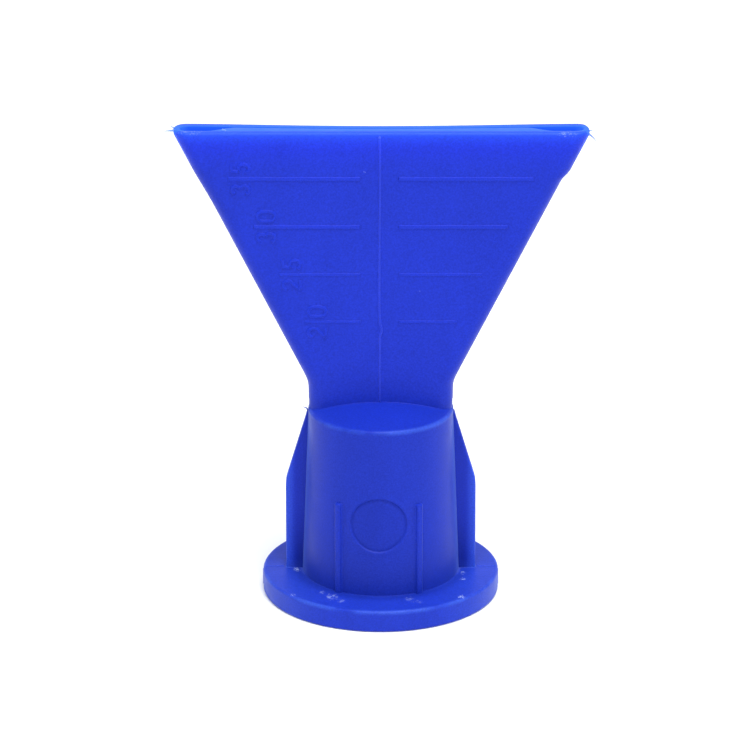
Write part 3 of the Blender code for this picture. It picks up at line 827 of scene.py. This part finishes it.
def raised_line(
    name, slot, path, normals, width, height, material, nodes, ring=False, end=LINE_END, taper=None
):
    """A ridge along a path of points on a surface, its foot sunk a little below it. A
    taper gives the share of its size that it has at each point."""
    path, normals = np.asarray(path), np.asarray(normals)
    if ring:
        forward = np.roll(path, -1, axis=0) - np.roll(path, 1, axis=0)
    else:
        forward = np.gradient(path, axis=0)
    forward /= np.linalg.norm(forward, axis=1)[:, None]
    across = np.cross(normals, forward)
    across /= np.linalg.norm(across, axis=1)[:, None]
    shoulder = min(0.35 * width, 0.6 * height)
    foot = min(0.3 * width, 0.35 * height)
    outline = [(width / 2 + foot, -0.3 * height)]
    for a in arc_angles(270, 180, 3):
        outline.append((width / 2 + foot * (1 + math.cos(a)), foot * (1 + math.sin(a))))
    for a in arc_angles(0, 90, 4):
        u = width / 2 - shoulder * (1 - math.cos(a))
        outline.append((u, height - shoulder * (1 - math.sin(a))))
    outline += [(-u, v) for u, v in outline[::-1]]
    rings = []
    taper = taper or [1.0] * len(path)

    def ridge_ring(i, ahead, shrink, lift):
        points = []
        for u, v in outline:
            u, v = u * taper[i], v * taper[i]
            u = math.copysign(max(abs(u) - shrink, 0.01 * width), u)
            v = v * lift if v > 0 else v
            points.append(path[i] + forward[i] * ahead + across[i] * u + normals[i] * v)
        return np.array(points)

    if not ring:
        rings.append(ridge_ring(0, -end * 1.3, end, 0.0))
        for a in arc_angles(90, 15, 5):
            rings.append(ridge_ring(0, -end * math.sin(a), end * (1 - math.cos(a)), math.cos(a) ** 0.5))
    for i in range(len(path)):
        rings.append(ridge_ring(i, 0.0, 0.0, 1.0))
    if not ring:
        for a in arc_angles(15, 90, 5):
            rings.append(ridge_ring(-1, end * math.sin(a), end * (1 - math.cos(a)), math.cos(a) ** 0.5))
        rings.append(ridge_ring(-1, end * 1.3, end, 0.0))
    line = skin_from(name, rings, "join" if ring else "cap", material)
    return fit_to_body(line, slot, *nodes)


# Ribs: two on the front of the barrel and two on its back, dying out past mid height
RIB_STEPS = 50
RIB_PROUD = 0.34 * MM
RIB_END = 0.15 * MM


def make_rib(node, side):
    low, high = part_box(node)
    x = (low.x + high.x) / 2
    z = np.linspace(FLANGE_TOP - 0.1 * MM, high.z, RIB_STEPS)
    path = barrel_point(np.full(RIB_STEPS, x), z, 0.0, side)
    outward = path * (1, 1, 0)
    outward /= np.linalg.norm(outward, axis=1)[:, None]
    name = node.replace("rib", "rib_strip")
    width = high.x - low.x
    raised_line(name, "moulding", path, outward, width, RIB_PROUD, ridge_plastic, [node], end=RIB_END)


for rib_side, rib_sign in (("front", -1), ("back", 1)):
    make_rib(rib_side + "_rib_left", rib_sign)
    make_rib(rib_side + "_rib_right", rib_sign)

# --- Cut marks -----------------------------------------------------------------
# At each width the fan can be cut to: a bar on either side of the middle, and the width
# in raised numerals, which are read from the side. All are low and soft from wear.
FACE = -FAN_HALF_THICKNESS
CUT_WIDTHS = (20, 25, 30, 35)
BAR_WEAR = {35: 1.0, 30: 0.95, 25: 0.62, 20: 0.55}
BAR_PROUD = 0.085 * MM
BAR_INSET = 0.08 * MM
BAR_STEP = 0.25 * MM
BAR_WANDER = 0.006  # in millimetres
DIGIT_PROUD = 0.09 * MM
DIGIT_LINE = 0.3 * MM
DIGIT_STEP = 0.07 * MM
wobble = random.Random(7)


def on_face(points):
    """Path points on the fan's flat front face, and their normals."""
    path = np.array([(x, FACE, z) for x, z in points])
    return path, np.tile((0.0, -1.0, 0.0), (len(path), 1))


def arc(centre, radii, start, end, steps):
    return [
        (centre[0] + radii[0] * math.cos(a), centre[1] + radii[1] * math.sin(a))
        for a in arc_angles(start, end, steps)
    ]


def numeral_path(digit):
    """Centre line of a numeral in a box one wide and one high, and whether it is a ring."""
    if digit == "0":
        top = arc((0.5, 0.66), (0.5, 0.34), 0, 180, 16)
        return top + arc((0.5, 0.34), (0.5, 0.34), 180, 360, 16), True
    if digit == "2":
        bow = arc((0.5, 0.7), (0.46, 0.3), 165, -30, 16)
        return bow + [(0.27, 0.2), (0.04, 0.02), (0.1, 0.0), (0.5, 0.0), (1.0, 0.0)], False
    if digit == "3":
        upper = arc((0.46, 0.755), (0.44, 0.245), 155, -62, 14)
        return upper + arc((0.46, 0.27), (0.5, 0.27), 68, -155, 16), False
    bowl = arc((0.45, 0.31), (0.5, 0.31), 130, -150, 18)
    return [(0.92, 1.0), (0.5, 1.0), (0.2, 1.0), (0.16, 0.94), (0.14, 0.75)] + bowl, False


SHORTEST_RUN = 1e-7


def drawn_evenly(points, ring, spacing):
    """Points at an even spacing along a path, so its bends stay smooth."""
    corners = np.array(points + points[:1] if ring else points)
    runs = np.linalg.norm(np.diff(corners, axis=0), axis=1)
    corners = corners[np.concatenate([[True], runs > SHORTEST_RUN])]
    along = np.concatenate([[0.0], np.cumsum(runs[runs > SHORTEST_RUN])])
    count = max(4, round(along[-1] / spacing))
    marks = np.linspace(0.0, along[-1], count + 1)
    if ring:
        marks = marks[:-1]
    return list(zip(np.interp(marks, along, corners[:, 0]), np.interp(marks, along, corners[:, 1])))


def make_cut_bar(node, wear):
    low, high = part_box(node)
    z = (low.z + high.z) / 2
    count = max(6, round((high.x - low.x) / BAR_STEP))
    points = []
    for x in np.linspace(low.x + BAR_INSET, high.x - BAR_INSET, count):
        points.append((x, z + wobble.uniform(-BAR_WANDER, BAR_WANDER) * MM))
    path, normals = on_face(points)
    name = node.replace("cut_bar", "cut_line")
    width = (high.z - low.z) * wear**0.5
    raised_line(name, "raised_marks", path, normals, width, BAR_PROUD * wear, ridge_plastic, [node])


def make_numeral(node, digit):
    low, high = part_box(node)
    half = DIGIT_LINE / 2
    unit, ring = numeral_path(digit)
    across, up = high.z - low.z - DIGIT_LINE, high.x - low.x - DIGIT_LINE
    placed = [(high.x - half - v * up, low.z + half + u * across) for u, v in unit]
    path, normals = on_face(drawn_evenly(placed, ring, DIGIT_STEP))
    name = node.replace("numeral", "figure")
    size = (DIGIT_LINE, DIGIT_PROUD)
    raised_line(name, "raised_marks", path, normals, *size, figure_plastic, [node], ring=ring)


for cut_width in CUT_WIDTHS:
    make_cut_bar(f"cut_bar_{cut_width}_left", BAR_WEAR[cut_width])
    make_cut_bar(f"cut_bar_{cut_width}_right", BAR_WEAR[cut_width])
    make_numeral(f"numeral_{cut_width}_tens", str(cut_width)[0])
    make_numeral(f"numeral_{cut_width}_units", str(cut_width)[1])

# --- Seam ----------------------------------------------------------------------
# The thin raised line down the middle of the front face, which wavers a little near its
# foot and ends below the lip, under the small bead that is drawn with the slivers.
SEAM_WIDTH = 0.2 * MM
SEAM_PROUD = 0.08 * MM
KINK_HEIGHT = 28.4 * MM
KINK_SPREAD = 0.55 * MM
KINK = 0.2 * MM
DRIFT = 0.03 * MM
DRIFT_LENGTH = 3.1 * MM
seam_low, seam_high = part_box("front_seam_line")
seam_x = (seam_low.x + seam_high.x) / 2
seam_heights = np.linspace(seam_low.z - 0.1 * MM, seam_high.z - 0.4 * MM, 130)
seam_points = []
for z in seam_heights:
    kink = KINK * math.exp(-(((z - KINK_HEIGHT) / KINK_SPREAD) ** 2))
    drift = DRIFT * math.sin(z / DRIFT_LENGTH)
    seam_points.append((seam_x + kink + drift, z))
seam_path, seam_normals = on_face(seam_points)
seam_size = (SEAM_WIDTH, SEAM_PROUD)
raised_line(
    "seam_ridge", "moulding", seam_path, seam_normals, *seam_size, seam_plastic, ["front_seam_line"]
)

# --- Parting lines and flash ---------------------------------------------------
# The mould halves meet on the plane of the fins: a hair-thin line runs up the fan's edges
# and over the flange. Slivers of flash, burrs and the seam's bead sit where knife and mould
# left them. Sizes and places here are in millimetres, a line's size as (width, height).
PARTING_FAN = (0.16, 0.035)
PARTING_TOP = (0.14, 0.045)
PARTING_SIDE = (0.14, 0.04)
PARTING_STEPS = 12


def thin_line(name, points, normals, width, height, taper=None, material=seam_plastic):
    """A raised line that replaces no solid, given in millimetres."""
    points, normals = np.array(points) * MM, np.array(normals, dtype=float)
    normals /= np.linalg.norm(normals, axis=1)[:, None]
    raised_line(name, "moulding", points, normals, width * MM, height * MM, material, [], taper=taper)


for side_name, side in (("left", -1), ("right", 1)):
    heights = np.linspace(RIM_HEIGHT + 1.0 * MM, MOUTH_HEIGHT - 0.6 * MM, 90)
    edge = fan_half_width(heights) + mouth_step(side_name, heights)
    lean = np.gradient(edge, heights)
    edge_points = [(side * x / MM, 0.0, z / MM) for x, z in zip(edge, heights)]
    thin_line("parting_fan_" + side_name, edge_points, [(side, 0.0, -k) for k in lean], *PARTING_FAN)
    top_points = [(side * x, 0.0, FLANGE_TOP / MM) for x in np.linspace(9.9, 11.6, PARTING_STEPS)]
    upward = [(0.0, 0.0, 1.0)] * PARTING_STEPS
    thin_line("parting_flange_top_" + side_name, top_points, upward, *PARTING_TOP)
    rim_points = [(side * FLANGE_RADIUS / MM, 0.0, z) for z in np.linspace(1.9, 0.35, PARTING_STEPS)]
    outward = [(side, 0.0, 0.0)] * PARTING_STEPS
    thin_line("parting_flange_side_" + side_name, rim_points, outward, *PARTING_SIDE)

SLIVERS = [
    ("flash_mouth_left", (-20.25, -0.1, 48.86), (-21.3, -0.2, 48.72), 0.26, 0.10),
    ("flash_mouth_left_curl", (-20.3, 0.3, 48.9), (-20.75, 0.4, 49.1), 0.16, 0.08),
    ("flash_mouth_right", (20.5, -0.2, 48.55), (21.2, -0.35, 47.85), 0.24, 0.10),
    ("flash_mouth_right_curl", (20.45, 0.2, 48.75), (20.95, 0.3, 48.6), 0.16, 0.07),
    ("burr_lip", (-15.6, -0.65, 49.0), (-15.35, -0.6, 49.06), 0.2, 0.12),
    ("burr_shoulder", (-7.4, 0.0, 19.35), (-7.8, -0.05, 19.65), 0.16, 0.1),
    ("burr_edge", (18.4, 0.0, 44.45), (18.62, -0.03, 44.75), 0.2, 0.1),
    ("bead_seam", (-0.13, -1.6, 48.42), (-0.13, -1.6, 48.62), 0.24, 0.07),
]
SLIVER_STEPS = 9
for name, start, end, width, height in SLIVERS:
    share = np.linspace(0.0, 1.0, SLIVER_STEPS)
    wave = 0.05 * np.sin(share * 5.0 + len(name))
    points = [np.array(start) + (np.array(end) - np.array(start)) * k for k in share]
    material = flash_plastic
    if name == "bead_seam":
        up, taper = (0.0, -1.0, 0.0), [0.6 + 0.4 * math.sin(math.pi * k) for k in share]
        material = bead_plastic
    else:
        up, taper = (0.0, -0.35, 0.94), [1.0 - 0.8 * k for k in share]
        points = [point + (0.0, bend, 0.3 * bend) for point, bend in zip(points, wave)]
    thin_line(name, points, [up] * SLIVER_STEPS, width, height, taper, material)
